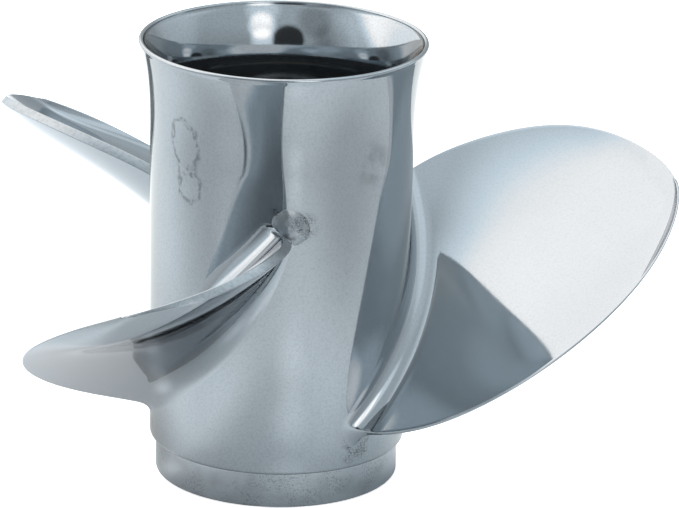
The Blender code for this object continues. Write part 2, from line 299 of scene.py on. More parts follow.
def smooth_mesh(name, vertices, faces, sharp_degrees=40, slots=None):
    """A mesh with faces outwards, smooth shading, and creases only at real edges."""
    mesh = bpy.data.meshes.new(name)
    mesh.from_pydata(vertices, [], faces)
    if slots:
        mesh.polygons.foreach_set("material_index", slots)
    builder = bmesh.new()
    builder.from_mesh(mesh)
    bmesh.ops.recalc_face_normals(builder, faces=builder.faces)
    builder.to_mesh(mesh)
    builder.free()
    mesh.shade_smooth()
    mesh.set_sharp_from_angle(angle=math.radians(sharp_degrees))
    return mesh


def arc(centre, radius, start_degrees, end_degrees, steps):
    """Points of an arc, from one angle to another."""
    angles = np.radians(np.linspace(start_degrees, end_degrees, steps + 1))
    return [(centre[0] + radius * math.cos(a), centre[1] + radius * math.sin(a)) for a in angles]


def turned_mesh(name, profile, steps=TURN_STEPS):
    """Turn a closed profile of (radius, height) points about the shaft axis."""
    angles = np.linspace(0, math.tau, steps, endpoint=False)
    profile = np.array(profile)
    count = len(profile)
    radius = profile[:, 0][None, :]
    vertices = np.stack([radius * np.cos(angles)[:, None], radius * np.sin(angles)[:, None],
                         np.broadcast_to(profile[:, 1] + FOOT, (steps, count))], axis=-1)
    faces = []
    for turn in range(steps):
        near = turn * count
        far = (turn + 1) % steps * count
        for index in range(count):
            after = (index + 1) % count
            faces.append((near + index, near + after, far + after, far + index))
    return smooth_mesh(name, vertices.reshape(-1, 3).tolist(), faces)


# Barrel and ring

def barrel_radius(height):
    """Outer radius of the barrel at heights above the forward end."""
    height = np.asarray(height, float)
    rise = np.clip((height - FLARE_START_HEIGHT) / (BARREL_LENGTH - FLARE_START_HEIGHT), 0, None)
    drop = np.clip((FLARE_START_HEIGHT - height) / (FLARE_START_HEIGHT - RING_HEIGHT), 0, None)
    flare = (RIM_RADIUS - BARREL_RADIUS) * rise ** FLARE_SHARPNESS
    return BARREL_RADIUS + flare - (BARREL_RADIUS - BARREL_FOOT_RADIUS) * drop


def barrel_profile():
    """Over the rim, down the outside, round the shoulder, up the bore and out to the mouth."""
    rounding = RIM_THICKNESS / 2
    profile = arc((RIM_RADIUS - rounding, BARREL_LENGTH - rounding), rounding, 190, -15, 14)
    top = profile[-1][1]
    foot = RING_HEIGHT + SEAM_GAP
    shoulder = foot + SHOULDER_ROUNDING
    for height in np.linspace(top, FLARE_START_HEIGHT, FLARE_STEPS)[1:]:
        profile.append((float(barrel_radius(height)), height))
    for height in np.linspace(FLARE_START_HEIGHT, shoulder, WALL_STEPS)[1:-1]:
        profile.append((float(barrel_radius(height)), height))
    profile += arc((BARREL_FOOT_RADIUS - SHOULDER_ROUNDING, shoulder), SHOULDER_ROUNDING, 0, -90, 10)
    profile.append((BARREL_BORE_RADIUS - BORE_CHAMFER, foot))
    profile.append((BARREL_BORE_RADIUS, foot + BORE_CHAMFER))
    profile.append((BARREL_BORE_RADIUS, MOUTH_START_HEIGHT - MOUTH_LEAD_IN))
    mouth_radius = RIM_RADIUS - RIM_THICKNESS
    mouth_height = BARREL_LENGTH - rounding
    for rise in np.linspace(0, 1, MOUTH_STEPS)[:-1]:
        height = MOUTH_START_HEIGHT + (mouth_height - MOUTH_START_HEIGHT) * rise
        opening = (mouth_radius - BARREL_BORE_RADIUS) * rise ** MOUTH_SHARPNESS
        profile.append((BARREL_BORE_RADIUS + opening, height))
    return profile


def ring_profile():
    """Over the top, down the outside and back along the forward end."""
    small = RING_TOP_ROUNDING
    profile = [(RING_BORE_RADIUS, RING_HEIGHT), (RING_RADIUS - small, RING_HEIGHT)]
    profile += arc((RING_RADIUS - small, RING_HEIGHT - small), small, 80, 0, 4)
    profile += arc((RING_RADIUS - RING_EDGE_ROUNDING, RING_EDGE_ROUNDING), RING_EDGE_ROUNDING, 0, -90, 8)
    profile.append((RING_BORE_RADIUS, 0.0))
    return profile


# Blades

def design_curve(values):
    """Smooth function of a fraction through evenly spaced design values."""
    factors = np.polyfit(np.linspace(0, 1, len(values)), values, len(values) - 1)
    return lambda fraction: np.polyval(factors, fraction)


half_width = design_curve(HALF_WIDTH_DEGREES)
skew = design_curve(SKEW_DEGREES)
mid_height = design_curve(MID_CHORD_HEIGHT)
pitch = design_curve(PITCH)
camber_depth = design_curve(CAMBER_DEPTH)
camber_lean = design_curve(CAMBER_LEAN)
thickest = design_curve(THICKNESS)
blunt_end = design_curve(TRAILING_EDGE_THICKNESS)
sharp_end = design_curve(LEADING_EDGE_THICKNESS)
tip_end = design_curve(TIP_THICKNESS)
pressure_fillet = design_curve(PRESSURE_FILLET)
suction_fillet = design_curve(SUCTION_FILLET)
SPAN = TIP_RADIUS - LEADING_CORNER - ROOT_RADIUS


def blade_turn(index):
    """Angle of a blade about the shaft axis."""
    return FIRST_BLADE_ANGLE + index * math.tau / BLADE_COUNT


def unit(vectors):
    return vectors / np.linalg.norm(vectors, axis=-1, keepdims=True)


def eased(fraction):
    """Smooth step of a fraction between 0 and 1."""
    return fraction * fraction * (3 - 2 * fraction)


def pressure_surface(span, chord, turn):
    """Points of the blade's aft face, and how far each is from the leading edge to the trailing."""
    narrowing = np.sqrt(np.clip(1 - np.clip(span, 0, 1) ** TIP_FULLNESS, LEAST, None))
    radius = ROOT_RADIUS + SPAN * span
    lead = pitch(span) / math.tau
    half = np.radians(half_width(span))
    inset = np.cos(np.arctan2(lead, radius)) / radius
    ahead = (half - LEADING_CORNER * inset) * narrowing
    behind = (half - TRAILING_CORNER * inset) * narrowing
    angle = chord * (ahead + behind) - ahead
    share = 0.5 + angle / (2 * half * narrowing)
    height = mid_height(span) + lead * angle
    bow = 4 * share * (1 - share) * (1 + camber_lean(span) * (2 * share - 1))
    height = height - camber_depth(span) * narrowing * bow
    radius = radius + (barrel_radius(height) - ROOT_RADIUS) * (1 - span)
    angle = angle + np.radians(skew(span)) + turn
    points = np.stack([radius * np.cos(angle), radius * np.sin(angle), height], axis=-1)
    return points, share


def surface_normals(span, chord, turn):
    """Unit normals of the aft face, from its slopes along the span and along the chord."""
    further = np.minimum(span + PROBE, 1 - PROBE)
    along = pressure_surface(further, chord, turn)[0]
    along = along - pressure_surface(further - 2 * PROBE, chord, turn)[0]
    across = pressure_surface(span, chord + PROBE, turn)[0]
    across = across - pressure_surface(span, chord - PROBE, turn)[0]
    normal = unit(np.cross(along, across))
    return normal * np.sign(normal[..., 2:3])


def blade_thickness(span, share):
    """Thin at the leading edge, blunt at the trailing edge, and thin again towards the tip."""
    narrowing = np.sqrt(np.clip(1 - np.clip(span, 0, 1) ** TIP_FULLNESS, 0, None))
    nose = np.sin(np.clip(share / THICKEST_AT, 0, 1) * math.pi / 2)
    tail = np.clip((share - THICKEST_AT) / (1 - THICKEST_AT), 0, 1)
    body = sharp_end(span) + (thickest(span) - sharp_end(span)) * nose
    body = body + (blunt_end(span) - thickest(span)) * tail ** 2
    near_tip = eased(np.clip((span - TIP_THINNING_FROM) / (1 - TIP_THINNING_FROM), 0, 1))
    return body + (tip_end(0.5 + (share - 0.5) * narrowing) - body) * near_tip


def span_rows():
    """Span fractions of the rows and how far each is from the barrel's surface."""
    turns = np.linspace(math.pi / 2, 0, FILLET_STEPS + 1)
    reach = [-BURIED] + list(FILLET_REACH * (1 - np.sin(turns)))
    spans = [max(distance, 0.0) / SPAN for distance in reach]
    spans += list(np.linspace(spans[-1], NARROW_FROM, SPAN_STEPS + 1)[1:])
    widest = math.sqrt(1 - NARROW_FROM ** TIP_FULLNESS)
    widths = np.linspace(widest, TIP_WIDTH, TIP_STEPS + 1)[1:]
    spans += list((1 - widths ** 2) ** (1 / TIP_FULLNESS))
    reach += [span * SPAN for span in spans[len(reach):]]
    return np.array(spans), np.array(reach)


def fillet(radius, reach):
    """How far a fillet lifts a surface that starts at reach 0."""
    depth = np.clip(radius - np.maximum(reach, 0), 0, radius)
    return radius - np.sqrt(np.maximum(radius ** 2 - depth ** 2, 0))


def settle(points, span, reach):
    """Near the root, bring points to their own distance from the barrel's surface."""
    radial = np.hypot(points[..., 0], points[..., 1])
    target = ROOT_RADIUS + SPAN * span + (barrel_radius(points[..., 2]) - ROOT_RADIUS) * (1 - span)
    target = target + np.minimum(reach, 0)
    weight = eased(np.clip(1 - reach / FILLET_REACH, 0, 1))
    scale = 1 + (target / radial - 1) * weight
    return np.stack([points[..., 0] * scale, points[..., 1] * scale, points[..., 2]], axis=-1)


def outline_loop(rows, columns):
    """Grid places along the leading edge, the tip and the trailing edge."""
    outline = [(row, 0) for row in range(rows)]
    outline += [(rows - 1, column) for column in range(1, columns - 1)]
    outline += [(row, columns - 1) for row in reversed(range(rows))]
    return np.array(outline)


def outward_headings(edge, edge_normal, place, inner):
    """Unit vectors out of the blade's outline, away from an inner point seen from a place on it."""
    heading = np.empty_like(edge)
    heading[1:-1] = edge[2:] - edge[:-2]
    heading[0] = edge[3] - edge[2]
    heading[-1] = edge[-3] - edge[-4]
    heading[1] = heading[0]
    heading[-2] = heading[-1]
    outward = unit(np.cross(unit(heading), edge_normal))
    if np.dot(outward[place], edge[place] - inner) < 0:
        outward = -outward
    for _ in range(HEADING_SMOOTHINGS):
        outward[1:-1] = unit(outward[:-2] + 2 * outward[1:-1] + outward[2:])
    return outward


def blade_faces(rows, columns, loop, ring_count):
    """Faces of both sides, the rounded edge and the root. Slot 1 is the ground trailing strip."""
    size = rows * columns
    faces = []
    for row in range(rows - 1):
        for column in range(columns - 1):
            here = row * columns + column
            quad = (here, here + 1, here + columns + 1, here + columns)
            faces.append(quad)
            faces.append(tuple(size + index for index in reversed(quad)))
    slots = [0] * len(faces)
    strips = [loop[:, 0] * columns + loop[:, 1]]
    for ring in range(ring_count):
        strips.append(2 * size + ring * len(loop) + np.arange(len(loop)))
    strips.append(size + strips[0])
    for index, (upper, lower) in enumerate(zip(strips, strips[1:])):
        on_strip = CORNER_STEPS - 1 <= index <= CORNER_STEPS + 1
        for place in range(len(loop) - 1):
            faces.append((int(upper[place]), int(upper[place + 1]),
                          int(lower[place + 1]), int(lower[place])))
            slots.append(1 if on_strip and place >= rows - SATIN_BEYOND_TIP else 0)
    root = list(range(columns))
    root += [int(strip[-1]) for strip in strips[1:-1]]
    root += [size + column for column in reversed(range(columns))]
    root += [int(strip[0]) for strip in reversed(strips[1:-1])]
    faces.append(tuple(reversed(root)))
    slots.append(0)
    return faces, slots


def blade_mesh(name, turn):
    """A blade: two faces lofted from the barrel to the tip, a rounded edge and root fillets."""
    spans, reach = span_rows()
    steps = np.linspace(0, 1, CHORD_STEPS + 1)
    crowded = (1 - np.cos(math.pi * steps)) / 2
    chords = CHORD_EVENNESS * steps + (1 - CHORD_EVENNESS) * crowded
    span, chord = np.meshgrid(spans, chords, indexing="ij")
    base, share = pressure_surface(span, chord, turn)
    normal = surface_normals(span, chord, turn)
    thickness = blade_thickness(span, share)[..., None]
    row_reach = np.broadcast_to(reach[:, None], span.shape)
    aft_lift = fillet(pressure_fillet(chord), row_reach)[..., None]
    fore_lift = fillet(suction_fillet(chord), row_reach)[..., None]
    aft = base + aft_lift * normal
    fore = base - (thickness + fore_lift) * normal

    rows, columns = span.shape
    loop = outline_loop(rows, columns)
    at_edge = (loop[:, 0], loop[:, 1])
    edge_normal = normal[at_edge]
    outward = outward_headings(base[at_edge], edge_normal, rows // 2, base[rows // 2, columns // 2])
    edge_span = spans[loop[:, 0]]
    edge_reach = reach[loop[:, 0]]
    blend = np.clip((np.arange(len(loop)) - rows + EDGE_BLEND) / (columns + 2 * EDGE_BLEND), 0, 1)
    corner = (LEADING_CORNER + (TRAILING_CORNER - LEADING_CORNER) * blend)[:, None]
    edge_fillet = LEADING_FILLET + (TRAILING_FILLET - LEADING_FILLET) * blend
    spread = corner + fillet(edge_fillet, edge_reach)[:, None]
    aft_drop = -corner - aft_lift[at_edge]
    fore_drop = corner + fore_lift[at_edge] * (1 - blend)[:, None]
    turns = np.linspace(0, math.pi / 2, CORNER_STEPS + 1)[1:]
    rings = []
    for edge, drop, angles in ((aft[at_edge], aft_drop, turns), (fore[at_edge], fore_drop, turns[::-1])):
        for angle in angles:
            offset = drop * (1 - math.cos(angle)) * edge_normal + spread * math.sin(angle) * outward
            rings.append(settle(edge + offset, edge_span, edge_reach))
    aft = settle(aft, span, row_reach)
    fore = settle(fore, span, row_reach)

    vertices = np.concatenate([aft.reshape(-1, 3), fore.reshape(-1, 3), *rings])
    vertices[:, 2] += FOOT
    faces, slots = blade_faces(rows, columns, loop, len(rings))
    return smooth_mesh(name, vertices.tolist(), faces, sharp_degrees=50, slots=slots)


# Welds, ribs and the pieces inside the barrel

def weld_mesh(name, blade_angle, turn, height, half_width, half_length, tilt, depth):
    """A ground weld cap: a rounded patch that swells out of the barrel and fades into it."""
    tilt = math.radians(tilt)
    middle = blade_angle + math.radians(turn)
    wobble_share, wobble_scale, wobble_place = WELD_WOBBLE
    vertices = []
    for ring in range(1, WELD_RINGS + 1):
        share = ring / WELD_RINGS
        for sector in range(WELD_SECTORS):
            angle = sector * math.tau / WELD_SECTORS
            heading = Vector((math.cos(angle), math.sin(angle), wobble_place))
            wobble = 1 + wobble_share * noise.noise(heading * wobble_scale)
            across = share * wobble * half_width * heading.x
            along = share * wobble * half_length * heading.y
            side = across * math.cos(tilt) - along * math.sin(tilt)
            rise = across * math.sin(tilt) + along * math.cos(tilt)
            place = Vector((side, rise, turn)) * MM_PER_METRE
            lumps = sum(amount * noise.noise(place * scale) for scale, amount in WELD_LUMPS)
            dome = (1 - share ** WELD_SHOULDER) ** WELD_SLOPE
            fading = WELD_LUMPS_AT_EDGE * lumps * (1 - share ** WELD_FADE)
            lift = depth * (dome * (1 + lumps) + fading) - BURIED * share ** WELD_SINK
            radius = float(barrel_radius(height + rise)) + lift
            around = middle + side / radius
            vertices.append((radius * math.cos(around), radius * math.sin(around), height + rise + FOOT))
    centre = len(vertices)
    for lift in (depth, -2 * BURIED):
        radius = float(barrel_radius(height)) + lift
        vertices.append((radius * math.cos(middle), radius * math.sin(middle), height + FOOT))
    faces = []
    rim = (WELD_RINGS - 1) * WELD_SECTORS
    for sector in range(WELD_SECTORS):
        after = (sector + 1) % WELD_SECTORS
        faces.append((centre, sector, after))
        for ring in range(WELD_RINGS - 1):
            near = ring * WELD_SECTORS
            far = near + WELD_SECTORS
            faces.append((near + sector, far + sector, far + after, near + after))
        faces.append((centre + 1, rim + after, rim + sector))
    return smooth_mesh(name, vertices, faces, sharp_degrees=60)


def tube_profile(outer, inner, bottom, top, rounding):
    """A tube whose edges are all rounded, the inner ones half as much."""
    small = rounding / 2
    profile = arc((inner + small, top - small), small, 180, 90, 5)
    profile += arc((outer - rounding, top - rounding), rounding, 90, 0, 8)
    profile += arc((outer - rounding, bottom + rounding), rounding, 0, -90, 8)
    profile += arc((inner + small, bottom + small), small, -90, -180, 5)
    return profile


def sleeve_mesh(name):
    """Sleeve with a splined hole: the turned ring's inner points follow the teeth."""
    chamfer = SLEEVE_CHAMFER
    profile = [(SPLINE_ROOT_RADIUS, SLEEVE_TOP - chamfer), (SPLINE_ROOT_RADIUS + chamfer, SLEEVE_TOP),
               (SLEEVE_RADIUS - chamfer, SLEEVE_TOP), (SLEEVE_RADIUS, SLEEVE_TOP - chamfer),
               (SLEEVE_RADIUS, SLEEVE_BOTTOM + chamfer), (SLEEVE_RADIUS - chamfer, SLEEVE_BOTTOM),
               (SPLINE_ROOT_RADIUS + chamfer, SLEEVE_BOTTOM), (SPLINE_ROOT_RADIUS, SLEEVE_BOTTOM + chamfer)]
    mesh = turned_mesh(name, profile, SPLINE_TEETH * STEPS_PER_TOOTH)
    for vertex in mesh.vertices:
        radius = math.hypot(vertex.co.x, vertex.co.y)
        if radius > SPLINE_ROOT_RADIUS + chamfer / 2:
            continue
        wave = math.cos(math.atan2(vertex.co.y, vertex.co.x) * SPLINE_TEETH)
        tooth = min(max(0.5 + SPLINE_STEEPNESS * wave, 0.0), 1.0)
        scale = 1 - (SPLINE_ROOT_RADIUS - SPLINE_TIP_RADIUS) * tooth / radius
        vertex.co.x *= scale
        vertex.co.y *= scale
    return mesh


def rib_mesh(name, turn):
    """A rib from the inner hub to the barrel, with rounded edges and a fillet at both ends."""
    start = INNER_HUB_RADIUS - BURIED
    end = BARREL_BORE_RADIUS + BURIED
    half_height = (RIB_TOP - RIB_BOTTOM) / 2
    middle = (RIB_TOP + RIB_BOTTOM) / 2 + FOOT
    rounding = RIB_EDGE_ROUNDING
    vertices = []
    for station in range(RIB_STATIONS + 1):
        place = start + (end - start) * (1 - math.cos(math.pi * station / RIB_STATIONS)) / 2
        spread = float(fillet(RIB_FILLET, place - start) + fillet(RIB_FILLET, end - place))
        half = RIB_THICKNESS / 2 + spread
        outline = []
        for across, up, first in ((1, 1, 0), (-1, 1, 90), (-1, -1, 180), (1, -1, 270)):
            corner = (across * (half - rounding), up * (half_height + spread / 2 - rounding))
            outline += arc(corner, rounding, first, first + 90, 6)
        for side, rise in outline:
            out = math.sqrt(place ** 2 - side ** 2)
            vertices.append((out * math.cos(turn) - side * math.sin(turn),
                             out * math.sin(turn) + side * math.cos(turn), middle + rise))
    count = len(outline)
    last = RIB_STATIONS * count
    faces = [tuple(range(count)), tuple(range(last, last + count))]
    for near in range(0, last, count):
        for index in range(count):
            after = (index + 1) % count
            faces.append((near + index, near + after, near + count + after, near + count + index))
    return smooth_mesh(name, vertices, faces)


# Materials, floor and studio

class Masks:
    """Node helpers shared by the finishes, the floor and the studio."""

    def __init__(self, tree, coordinates):
        self.nodes = tree.nodes
        self.links = tree.links
        self.place = self.nodes.new("ShaderNodeTexCoord").outputs[coordinates]

    def feed(self, socket, value):
        """Link a socket to another one, or set it to a constant."""
        if isinstance(value, bpy.types.NodeSocket):
            self.links.new(value, socket)
        else:
            socket.default_value = value

    def math(self, operation, first, second, third=0.0):
        node = self.nodes.new("ShaderNodeMath")
        node.operation = operation
        for socket, value in zip(node.inputs, (first, second, third)):
            self.feed(socket, value)
        return node.outputs["Value"]

    def measure(self, operation, vector):
        """DISTANCE to a vector, or DOT_PRODUCT with it."""
        node = self.nodes.new("ShaderNodeVectorMath")
        node.operation = operation
        self.links.new(self.place, node.inputs[0])
        node.inputs[1].default_value = vector
        return node.outputs["Value"]

    def scaled(self, vector, amount):
        """A vector or colour times a number."""
        node = self.nodes.new("ShaderNodeVectorMath")
        node.operation = "SCALE"
        self.feed(node.inputs["Vector"], vector)
        self.feed(node.inputs["Scale"], amount)
        return node.outputs["Vector"]

    def between(self, value, low, high, top=1.0):
        """Smooth step from 0 where the value is low to top where it is high."""
        node = self.nodes.new("ShaderNodeMapRange")
        node.interpolation_type = "SMOOTHSTEP"
        node.inputs["From Min"].default_value = low
        node.inputs["From Max"].default_value = high
        node.inputs["To Max"].default_value = top
        self.links.new(value, node.inputs["Value"])
        return node.outputs["Result"]

    def near(self, point, radius, softness):
        """Mask of what lies within a distance of a point, full inside softness of it."""
        return self.between(self.measure("DISTANCE", point), radius, radius * softness)

    def mix(self, factor, first, second):
        """Blend of two colours, each a constant or a socket."""
        node = self.nodes.new("ShaderNodeMix")
        node.data_type = "RGBA"
        self.links.new(factor, node.inputs["Factor"])
        for letter, colour in (("A", first), ("B", second)):
            self.feed(node.inputs[letter], (*colour, 1) if isinstance(colour, tuple) else colour)
        return node.outputs["Result"]

    def camera_ray(self):
        return self.nodes.new("ShaderNodeLightPath").outputs["Is Camera Ray"]


class Finish(Masks):
    """A metallic or plain material and small helpers to add procedural detail to it."""

    def __init__(self, name, colour, roughness, metallic=1.0, grazing=(1, 1, 1)):
        self.material = bpy.data.materials.new(name)
        self.material.use_nodes = True
        super().__init__(self.material.node_tree, "Object")
        self.shader = self.nodes["Principled BSDF"]
        self.shader.inputs["Metallic"].default_value = metallic
        self.shader.inputs["Roughness"].default_value = roughness
        self.shader.inputs["Specular Tint"].default_value = (*grazing, 1)
        self.colour = colour
        self.roughness = roughness
        self.height = None

    def noise(self, scale, detail=2.0, low=0.4, high=0.6, stretch=None, top=1.0):
        """Soft noise as a mask between 0 and top."""
        place = self.place
        if stretch:
            mapping = self.nodes.new("ShaderNodeMapping")
            mapping.inputs["Scale"].default_value = stretch
            self.links.new(place, mapping.inputs["Vector"])
            place = mapping.outputs["Vector"]
        node = self.nodes.new("ShaderNodeTexNoise")
        node.inputs["Scale"].default_value = scale
        node.inputs["Detail"].default_value = detail
        self.links.new(place, node.inputs["Vector"])
        return self.between(node.outputs["Fac"], low, high, top)

    def both(self, first, second):
        """Where two masks overlap, or a mask at part of its strength."""
        return self.math("MULTIPLY", first, second)

    def pits(self, scale, size, density):
        """Small round pits, more of them where density is high."""
        node = self.nodes.new("ShaderNodeTexVoronoi")
        node.inputs["Scale"].default_value = scale
        self.links.new(self.place, node.inputs["Vector"])
        split = self.nodes.new("ShaderNodeSeparateColor")
        self.links.new(node.outputs["Color"], split.inputs["Color"])
        chosen = self.math("LESS_THAN", split.outputs["Red"], density)
        return self.both(self.between(node.outputs["Distance"], size, size * 0.5), chosen)

    def tint(self, mask, colour, strength):
        """Turn the colour towards another one under a mask."""
        self.colour = self.mix(self.both(mask, strength), self.colour, colour)

    def roughen(self, mask, amount):
        self.roughness = self.math("ADD", self.both(mask, amount), self.roughness)

    def raise_by(self, mask, amount):
        """Height in metres for the bump."""
        lifted = self.both(mask, amount)
        self.height = lifted if self.height is None else self.math("ADD", self.height, lifted)

    def done(self):
        """The material, with its colour, roughness and bump in place."""
        self.links.new(self.colour, self.shader.inputs["Base Color"])
        self.feed(self.shader.inputs["Roughness"], self.roughness)
        bump = self.nodes.new("ShaderNodeBump")
        bump.inputs["Distance"].default_value = 1.0
        self.links.new(self.height, bump.inputs["Height"])
        self.links.new(bump.outputs["Normal"], self.shader.inputs["Normal"])
        return self.material


def on_barrel(degrees, height):
    """Point on the barrel's outside."""
    turn = math.radians(degrees)
    radius = float(barrel_radius(height))
    return (radius * math.cos(turn), radius * math.sin(turn), height + FOOT)


def around_blades(marks):
    """The same marks at all the blades, from degrees off the blade's angle to degrees."""
    turned = []
    for index in range(BLADE_COUNT):
        for degrees, height, radius in marks:
            turned.append((degrees + math.degrees(blade_turn(index)), height, radius))
    return turned


def steel_grain(finish, grain):
    """Fine grain and slow drift of a worn polish."""
    finish.tint(finish.noise(22, 3, low=0.35, high=0.7), STEEL_DRIFT, 0.5)
    finish.tint(finish.noise(1100, 3, low=0.40, high=0.70), STEEL_GRAIN, grain)
    finish.roughen(finish.noise(60, 4), 0.02)
    finish.raise_by(finish.noise(1500, 2, low=0.0, high=1.0), 0.000002)


def speckled(finish, marks, amount):
    """Clusters of fine dark specks at marks given as degrees, height and radius."""
    area = None
    for degrees, height, radius in marks:
        spot = finish.near(on_barrel(degrees, height), radius, softness=0.35)
        area = spot if area is None else finish.math("MAXIMUM", area, spot)
    patchy = finish.both(area, finish.noise(260, 3, low=0.30, high=0.60))
    finish.tint(finish.both(finish.noise(1900, 2, low=0.47, high=0.56), patchy), DARK_SPECK, amount)
    finish.roughen(patchy, 0.10)


def stain_outline(finish):
    """Wavering dark outline of a dried water stain."""
    edge = None
    for degrees, height, radius in STAIN_LOBES:
        distance = finish.measure("DISTANCE", on_barrel(degrees, height))
        outside = finish.math("SUBTRACT", distance, radius)
        edge = outside if edge is None else finish.math("SMOOTH_MIN", edge, outside, STAIN_FLOW)
    waver = finish.noise(150, 3, low=0.2, high=0.8, top=STAIN_WAVER)
    waver = finish.math("SUBTRACT", waver, STAIN_WAVER / 2)
    edge = finish.math("ABSOLUTE", finish.math("ADD", edge, waver), 0.0)
    full_within, gone_beyond = STAIN_LINE
    line = finish.between(edge, gone_beyond, full_within)
    return finish.both(line, finish.noise(600, 4, low=0.32, high=0.60))


def polished_steel():
    """Bright polish: faint drift and the finest grain."""
    finish = Finish("polished_steel", STEEL, roughness=0.05, metallic=POLISH_METAL, grazing=BLADE_GRAZING)
    steel_grain(finish, grain=0.3)
    finish.tint(finish.pits(400, size=0.12, density=0.03), FAINT_PIT, 0.5)
    return finish.done()


def barrel_steel():
    """A greyer polish with marks of use: a stain, a smudge, pits and specks beside the welds."""
    finish = Finish("barrel_steel", STEEL, roughness=0.055, metallic=POLISH_METAL, grazing=BARREL_GRAZING)
    steel_grain(finish, grain=0.6)
    speckled(finish, around_blades(WELD_MARKS + LEADING_MARKS), 0.85)
    finish.tint(stain_outline(finish), STAIN, 0.75)
    degrees, height, radius = SMUDGE
    smudge = finish.near(on_barrel(degrees, height), radius, softness=0.2)
    finish.tint(finish.both(smudge, finish.noise(110, 2, low=0.40, high=0.60)), DULLED, 0.75)
    pitted = finish.noise(25, 2, low=0.45, high=0.65)
    finish.tint(finish.both(finish.pits(420, size=0.16, density=0.12), pitted), STAIN, 0.7)
    return finish.done()


def satin_steel():
    """Ground edge: fine dull mottling along the strip."""
    finish = Finish("satin_edge_steel", GROUND, roughness=0.30)
    finish.tint(finish.noise(700, 3, low=0.4, high=0.7), GROUND_SCRATCH, 0.6)
    finish.raise_by(finish.noise(900, 3, low=0.0, high=1.0), 0.00001)
    return finish.done()


def machined_steel():
    """Turned ring: fine lines round the axis, mottled and speckled."""
    finish = Finish("machined_steel", STEEL, roughness=0.20)
    lines = finish.noise(1.0, 4, low=0.3, high=0.7, stretch=(25, 25, 2600))
    finish.tint(lines, TURNED_LINE, 0.6)
    finish.tint(finish.noise(90, 4, low=0.42, high=0.62), TURNED_MOTTLE, 0.40)
    patchy = finish.noise(70, 3, low=0.45, high=0.6)
    finish.tint(finish.both(finish.noise(1400, 2, low=0.50, high=0.66), patchy), TURNED_SPECK, 0.5)
    finish.raise_by(lines, 0.000006)
    return finish.done()


def weld_steel():
    """Ground weld cap: duller than the barrel, with specks and painted shade of a groove at the blade."""
    finish = Finish("weld_steel", WELD_METAL, roughness=0.34)
    steel_grain(finish, grain=0.6)
    finish.tint(finish.noise(500, 4, low=0.45, high=0.70), DULLED, 0.6)
    speckled(finish, around_blades(WELD_MARKS), 0.95)
    # Painted shade: a dark tint where the groove between the weld and the blade's end would lie in shade
    for degrees, height, radius in around_blades(WELD_GROOVE_SHADE_MARKS):
        painted_groove_shade = finish.near(on_barrel(degrees, height), radius, softness=0.3)
        finish.tint(painted_groove_shade, GROOVE_SHADE_COLOUR, 0.85)
    finish.raise_by(finish.noise(700, 4, low=0.2, high=0.8), 0.00003)
    return finish.done()


def cast_steel():
    """Casting skin inside the barrel, darkened by exhaust."""
    finish = Finish("cast_steel", CASTING, roughness=0.48)
    finish.tint(finish.noise(90, 5, low=0.4, high=0.65), CASTING_SOOT, 0.7)
    finish.roughen(finish.noise(250, 3), 0.15)
    finish.raise_by(finish.noise(700, 4, low=0.0, high=1.0), 0.0001)
    return finish.done()


def rubber():
    """Black rubber with a little grey dust."""
    finish = Finish("rubber", RUBBER, roughness=0.7, metallic=0.0)
    finish.tint(finish.noise(150, 4, low=0.45, high=0.7), RUBBER_DUST, 0.6)
    finish.raise_by(finish.noise(1200, 3, low=0.0, high=1.0), 0.00006)
    return finish.done()


def bronze():
    """Turned bronze, tarnished in patches."""
    finish = Finish("bronze", BRONZE, roughness=0.30)
    finish.tint(finish.noise(140, 4, low=0.4, high=0.65), BRONZE_TARNISH, 0.7)
    lines = finish.noise(1.0, 4, low=0.3, high=0.7, stretch=(40, 40, 2200))
    finish.raise_by(lines, 0.00001)
    return finish.done()


# Pieces

polished = polished_steel()
satin = satin_steel()
weld_finish = weld_steel()
cast = cast_steel()
hub_profile = tube_profile(INNER_HUB_RADIUS, INNER_HUB_BORE_RADIUS, INNER_HUB_BOTTOM, INNER_HUB_TOP,
                           INNER_HUB_ROUNDING)
bushing_profile = tube_profile(INNER_HUB_BORE_RADIUS - SEAM_GAP, SLEEVE_RADIUS + SEAM_GAP,
                               BUSHING_BOTTOM, BUSHING_TOP, BUSHING_ROUNDING)

finish_piece(turned_mesh("barrel_shell", barrel_profile()), [barrel_steel()],
             replaces=["barrel"])
finish_piece(turned_mesh("forward_collar", ring_profile()), [machined_steel()],
             replaces=["forward_ring"])
finish_piece(turned_mesh("hub_tube", hub_profile), [cast], replaces=["inner_hub"])
finish_piece(turned_mesh("rubber_core", bushing_profile), [rubber()],
             replaces=["rubber_bushing"])
finish_piece(sleeve_mesh("spline_sleeve"), [bronze()], replaces=["splined_sleeve"])
for index in range(BLADE_COUNT):
    number = index + 1
    turn = blade_turn(index)
    rib_turn = RIB_ANGLE + turn - FIRST_BLADE_ANGLE
    finish_piece(blade_mesh(f"blade_loft_{number}", turn), [polished, satin],
                 replaces=[f"blade_{number}"])
    finish_piece(weld_mesh(f"weld_trailing_{number}", turn, **WELD), [weld_finish])
    finish_piece(rib_mesh(f"rib_casting_{number}", rib_turn), [cast],
                 replaces=[f"rib_{number}"])
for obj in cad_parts.values():
    obj.data.materials.clear()
    obj.data.materials.append(cast)


# Camera, floor and lights

